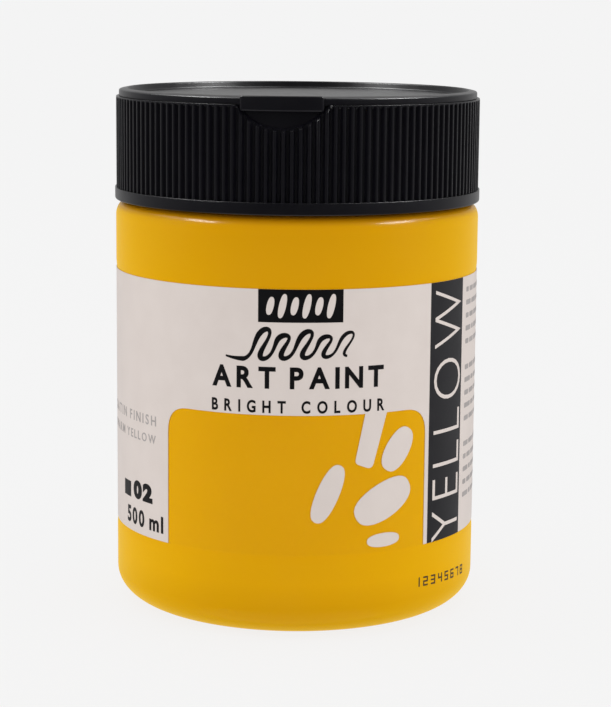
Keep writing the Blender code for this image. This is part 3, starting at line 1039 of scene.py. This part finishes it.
def scoop_cutter():
    """The round thumb pocket. Its edge is chamfered where it meets the ribs."""
    centre_z = SCOOP_LOW_Z + SCOOP_R
    high_z = CAP_HIGH_Z + 1.2 * MM
    edge_r = RIB_R - SCOOP_CHAMFER
    slope = SCOOP_TAPER / (RIB_R - SCOOP_BACK_R)
    steps = 64

    def outline_at(radius):
        size = SCOOP_R + slope * (min(radius, edge_r) - RIB_R) + max(0.0, radius - edge_r)
        half = math.acos((centre_z - high_z) / size)
        low = []
        high = []
        for i in range(steps + 1):
            angle = half * (2 * i / steps - 1)
            x = size * math.sin(angle)
            low.append((x, centre_z - size * math.cos(angle)))
            high.append((x, high_z + 0.2 * MM))
        return low + high[::-1]

    return wrapped_cutter("scoop_cutter", (SCOOP_BACK_R, edge_r, BAND_R + 0.5 * MM), outline_at)


def hinge_cutter():
    """The room for the hinge film at the back."""
    half = hinge_high.x + HINGE_CLEARANCE
    front_y = hinge_low.y - HINGE_CLEARANCE
    low = Vector((-half, front_y, hinge_low.z - HINGE_CLEARANCE))
    high = Vector((half, BAND_R + 1 * MM, LID_HIGH_Z + 1 * MM))
    bm = bmesh.new()
    bmesh.ops.create_cube(bm, size=1.0)
    for vert in bm.verts:
        vert.co = low + Vector((c + 0.5) * s for c, s in zip(vert.co, high - low))
    return new_object("hinge_cutter", bm)


def cap_deck(material):
    """The cap's flat top under the lid, with the pouring hole and its lip."""
    edge_r = TOP_RECESS_R + 0.6 * MM
    outline = rounded([
        (0, DECK_LOW_Z), (edge_r, DECK_LOW_Z), (edge_r, DECK_HIGH_Z + 0.5 * MM),
        (TOP_RECESS_R - 0.05 * MM, DECK_HIGH_Z + 0.45 * MM),
        (TOP_RECESS_R - 0.55 * MM, DECK_HIGH_Z, 0.5 * MM),
        (TOP_RECESS_R - 3.0 * MM, DECK_HIGH_Z), (0, DECK_HIGH_Z),
    ], 4)
    deck = turned("cap_deck", outline, LID_SEGMENTS, material)
    spout = (0.0, SPOUT_Y)
    hole_r = SPOUT_R + 0.3 * MM   # inside the lip's wall
    hole = turned("spout_cutter", [
        (0, DECK_LOW_Z - 1 * MM), (hole_r, DECK_LOW_Z - 1 * MM),
        (hole_r, DECK_HIGH_Z + 1 * MM), (0, DECK_HIGH_Z + 1 * MM),
    ], SMALL_SEGMENTS * 2, material, spout)
    cut(deck, hole)
    shade(deck, 35)
    place_piece(deck, "cap", "black_plastic")
    lip = rounded([
        (SPOUT_R, DECK_LOW_Z + 0.02 * MM, 0.2 * MM),
        (SPOUT_LIP_R, DECK_LOW_Z + 0.02 * MM),
        (SPOUT_LIP_R + 0.4 * MM, DECK_HIGH_Z),
        (SPOUT_LIP_R, DECK_HIGH_Z + 0.1 * MM, 0.3 * MM),
        (SPOUT_LIP_R, SPOUT_LIP_Z, 0.35 * MM),
        (SPOUT_R, SPOUT_LIP_Z, 0.35 * MM),
    ], 5, loop=True)
    lip_piece = turned("spout_lip", lip, SMALL_SEGMENTS * 2, material, spout, loop=True)
    place_piece(lip_piece, "cap", "black_plastic")


def cap_inner_thread(material):
    start_z = NECK_THREAD_Z - CAP_THREAD_DROP
    ridge = thread("cap_thread", CAP_BORE_R + 0.3 * MM, CAP_THREAD_CREST_R, start_z, material)
    place_piece(ridge, "cap", "black_plastic")


def seal(material):
    inner_r = seal_high.x - SEAL_WIDTH
    corners = rectangle(inner_r, seal_low.z, seal_high.x, seal_high.z)
    outline = rounded([(*corner, 0.3 * MM) for corner in corners], 5, loop=True)
    ring_piece = turned("foam_seal", outline, LID_SEGMENTS, material, loop=True)
    place_piece(ring_piece, "seal", "seal_foam", "seal_ring")


# -------- lid

def lid_plate(material):
    """The dished lid, with the plug below it that closes the pouring hole."""
    outline = rounded([
        (0, LID_LOW_Z),
        (LID_STEP_R, LID_LOW_Z, 0.2 * MM),
        (LID_STEP_R, LID_SEAT_Z, 0.1 * MM),
        (LID_R, LID_SEAT_Z, 0.12 * MM),
        (LID_R, LID_HIGH_Z - LID_RIM_FALL, 0.4 * MM),
        (LID_R - 0.9 * MM, LID_HIGH_Z - 0.1 * MM, 0.7 * MM),
        (LID_RIM_INNER_R, LID_HIGH_Z + 0.1 * MM, 0.4 * MM),
        (LID_DISH_R, LID_DISH_Z, 0.4 * MM),
        (LID_DISH_R - 4 * MM, LID_DISH_Z),
        (0, LID_DISH_Z),
    ], 5)
    plate = turned("lid_plate", outline, LID_SEGMENTS, material, sharp_deg=50)
    place_piece(plate, "lid", "black_plastic", "flip_lid")

    plug = rounded([
        (PLUG_R, LID_LOW_Z + 0.3 * MM), (PLUG_R, lid_low.z, 0.45 * MM),
        (PLUG_BORE_R, lid_low.z, 0.3 * MM), (PLUG_BORE_R, LID_LOW_Z + 0.3 * MM),
    ], 5)
    plug_piece = turned("lid_plug", plug, SMALL_SEGMENTS * 2, material, (0.0, SPOUT_Y), loop=True)
    place_piece(plug_piece, "lid", "black_plastic")


def thumb_tab(material):
    """The tab on the lid's front, bent along the cap, with rounded edges and corners."""
    edge = 0.42 * MM
    back = TAB_BACK_R - 0.6 * MM
    corners = [
        (back, TAB_LOW_Z), (TAB_FRONT_R, TAB_LOW_Z, edge * 1.3), (TAB_FRONT_R, TAB_HIGH_Z, edge),
        (back, TAB_HIGH_Z),
    ]
    outline = rounded(corners, 5)
    middle = Vector(((back + TAB_FRONT_R) / 2, (TAB_LOW_Z + TAB_HIGH_Z) / 2))
    # Stations across the tab, from -1 to 1, with how full its section is at each
    left_end = [(-1.0 + 0.02 * i, math.sqrt(1 - (1 - i / 4) ** 2)) for i in range(5)]
    steps = 24
    between = [(-1 + 2 * i / steps, 1.0) for i in range(2, steps - 1)]
    right_end = [(-x, fullness) for x, fullness in reversed(left_end)]
    sections = []
    for x, fullness in [*left_end, *between, *right_end]:
        shrink = edge * (1 - fullness)
        section = []
        for r, z in outline:
            toward = middle - Vector((r, z))
            z_shift = math.copysign(min(shrink, abs(toward.y)), toward.y)
            r_shift = -shrink if r > middle.x else 0.0
            section.append(polar(r + r_shift, x * TAB_HALF_WIDTH / RIB_R, z + z_shift))
        sections.append(section)
    place_piece(lofted("thumb_tab", sections, material, 50), "lid", "black_plastic")


def hinge_film(material):
    """The thin film between cap and lid, thinned where it would fold."""
    rows = 24
    half = (hinge_high.y - hinge_low.y) / 2
    sections = []
    for i in range(rows + 1):
        z = hinge_low.z + (hinge_high.z - hinge_low.z) * i / rows
        thin = half * (1 - 0.4 * math.exp(-((z - HINGE_Z) / (0.35 * MM)) ** 2))
        corners = [
            (hinge_low.x, HINGE_Y - thin, 0.1 * MM), (hinge_high.x, HINGE_Y - thin, 0.1 * MM),
            (hinge_high.x, HINGE_Y + thin, 0.1 * MM), (hinge_low.x, HINGE_Y + thin, 0.1 * MM),
        ]
        sections.append([Vector((x, y, z)) for x, y in rounded(corners, 3, loop=True)])
    obj = lofted("hinge_film", sections, material)
    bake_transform(obj)
    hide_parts("living_hinge")


# -------- stage

def make_camera():
    data = bpy.data.cameras.new("camera")
    data.lens = LENS
    data.sensor_width = 36.0
    camera = bpy.data.objects.new("camera", data)
    bpy.context.scene.collection.objects.link(camera)
    heading = CAMERA_ANGLE - CAMERA_YAW
    level = Vector((-math.sin(heading), math.cos(heading), 0.0))
    forward = level * math.cos(CAMERA_PITCH) - Vector((0, 0, math.sin(CAMERA_PITCH)))
    right = level.cross(Vector((0, 0, 1)))
    up = right.cross(forward)
    x_axis = right * math.cos(CAMERA_ROLL) + up * math.sin(CAMERA_ROLL)
    y_axis = up * math.cos(CAMERA_ROLL) - right * math.sin(CAMERA_ROLL)
    turn = Matrix((x_axis, y_axis, -forward)).transposed()
    place = polar(CAMERA_DISTANCE, CAMERA_ANGLE, CAMERA_HEIGHT)
    camera.matrix_world = Matrix.Translation(place) @ turn.to_4x4()
    bpy.context.scene.camera = camera


def soft_box(name, place, size, radiance, diffuse=True, glossy=True):
    """A rectangular light aimed at the jar. Its radiance is on the same scale as PAPER_LEVEL."""
    data = bpy.data.lights.new(name, "AREA")
    data.shape = "RECTANGLE"
    data.size, data.size_y = size
    data.energy = radiance * math.pi * size[0] * size[1]
    light = bpy.data.objects.new(name, data)
    bpy.context.scene.collection.objects.link(light)
    turn = (AIM - Vector(place)).to_track_quat("-Z", "Y").to_matrix().to_4x4()
    light.matrix_world = Matrix.Translation(place) @ turn
    light.visible_diffuse = diffuse
    light.visible_glossy = glossy
    light.visible_camera = False


def make_world():
    """A pale, even studio. Reflections see it much dimmer, but for the wall behind the jar."""
    world = bpy.data.worlds.new("studio")
    bpy.context.scene.world = world
    world.use_nodes = True
    world.cycles.sampling_method = "NONE"
    nodes, links = world.node_tree.nodes, world.node_tree.links
    background = nodes["Background"]
    background.inputs["Color"].default_value = (1.0, 1.0, 1.0, 1.0)

    def math_node(operation, value, *numbers):
        node = nodes.new("ShaderNodeMath")
        node.operation = operation
        links.new(value, node.inputs[0])
        for i, number in enumerate(numbers):
            node.inputs[i + 1].default_value = number
        return node.outputs["Value"]

    direction = nodes.new("ShaderNodeTexCoord")
    axes = nodes.new("ShaderNodeSeparateXYZ")
    links.new(direction.outputs["Generated"], axes.inputs["Vector"])
    backwards = math_node("MULTIPLY_ADD", axes.outputs["Y"], 0.5, 0.5)
    wall = math_node("POWER", backwards, WALL_FOCUS)
    gloss = math_node("MULTIPLY_ADD", wall, WALL_LEVEL, GLOSS_LEVEL)
    rays = nodes.new("ShaderNodeLightPath")
    level = nodes.new("ShaderNodeMapRange")
    level.inputs["To Min"].default_value = PAPER_LEVEL
    links.new(gloss, level.inputs["To Max"])
    links.new(rays.outputs["Is Glossy Ray"], level.inputs["Value"])
    links.new(level.outputs["Result"], background.inputs["Strength"])


def make_floor():
    """A large pale floor that gives off most of its brightness itself, so that it stays even."""
    material = principled("floor_paint", (FLOOR_ALBEDO,) * 3, 0.9, Specular_IOR_Level=0.0)
    shader = parts_of(material)[2]
    shader.inputs["Emission Color"].default_value = (1.0, 1.0, 1.0, 1.0)
    shader.inputs["Emission Strength"].default_value = PAPER_LEVEL * (1 - FLOOR_ALBEDO)
    bm = bmesh.new()
    join_all(bm, [ring(bm, r, 0.0, 64) for r in (0, 0.5, 2, 8, 40)])
    for face in bm.faces:
        if face.normal.z < 0:
            face.normal_flip()
    floor = new_object("floor", bm)
    floor.data.materials.append(material)
    floor.location.z = -0.05 * MM
    floor.visible_glossy = False


def make_lights():
    """Soft light from both sides, with reflections on the lid, the shoulder and the base."""
    for side in (-1, 1):
        soft_box("overhead_box", (0.5 * side, 0.1, 0.85), (0.45, 0.8), radiance=5.0, diffuse=False)
        soft_box("side_box", (0.9 * side, -0.1, 0.3), (0.7, 0.7), radiance=1.1, glossy=False)
    for place in ((-0.72, -0.3, 0.73), (0.77, -0.16, 0.7)):
        soft_box("key_box", place, (0.34, 0.14), radiance=50.0, diffuse=False)
    soft_box("low_box", (0.0, -0.25, -0.45), (0.9, 0.5), radiance=0.6, diffuse=False)


def make_stage():
    make_camera()
    make_world()
    make_floor()
    make_lights()
    bpy.context.scene.view_settings.view_transform = "Standard"


# -------- the whole jar

def make_jar_pieces():
    plastic = jar_plastic()
    jar_shell(plastic)
    paint(wet_paint())
    white = ink("white_ink", (0.68, 0.604, 0.564), (0.704, 0.629, 0.589))
    black = ink("black_ink", (0.0035, 0.003, 0.0045), (0.005, 0.0045, 0.006))
    faded = ink("faded_ink", (0.014, 0.013, 0.016), (0.018, 0.017, 0.020))
    grey = ink("grey_ink", (0.34, 0.31, 0.30), (0.40, 0.37, 0.36))
    film(clear_film())
    white_print(white)
    window_dabs(white)
    badge(black, white)
    flourish(black)
    headings(black)
    side_band(faded, white)
    left_panel(black, grey)
    back_panel(black, grey)
    batch_digits(ink("batch_ink", (0.05, 0.025, 0.006), (0.09, 0.045, 0.008)))


def make_closure():
    black = black_plastic()
    cap_skirt(black)
    cap_deck(black)
    cap_inner_thread(black)
    seal(seal_foam())
    lid_plate(black)
    thumb_tab(black)
    hinge_film(black)


make_stage()
make_jar_pieces()
make_closure()
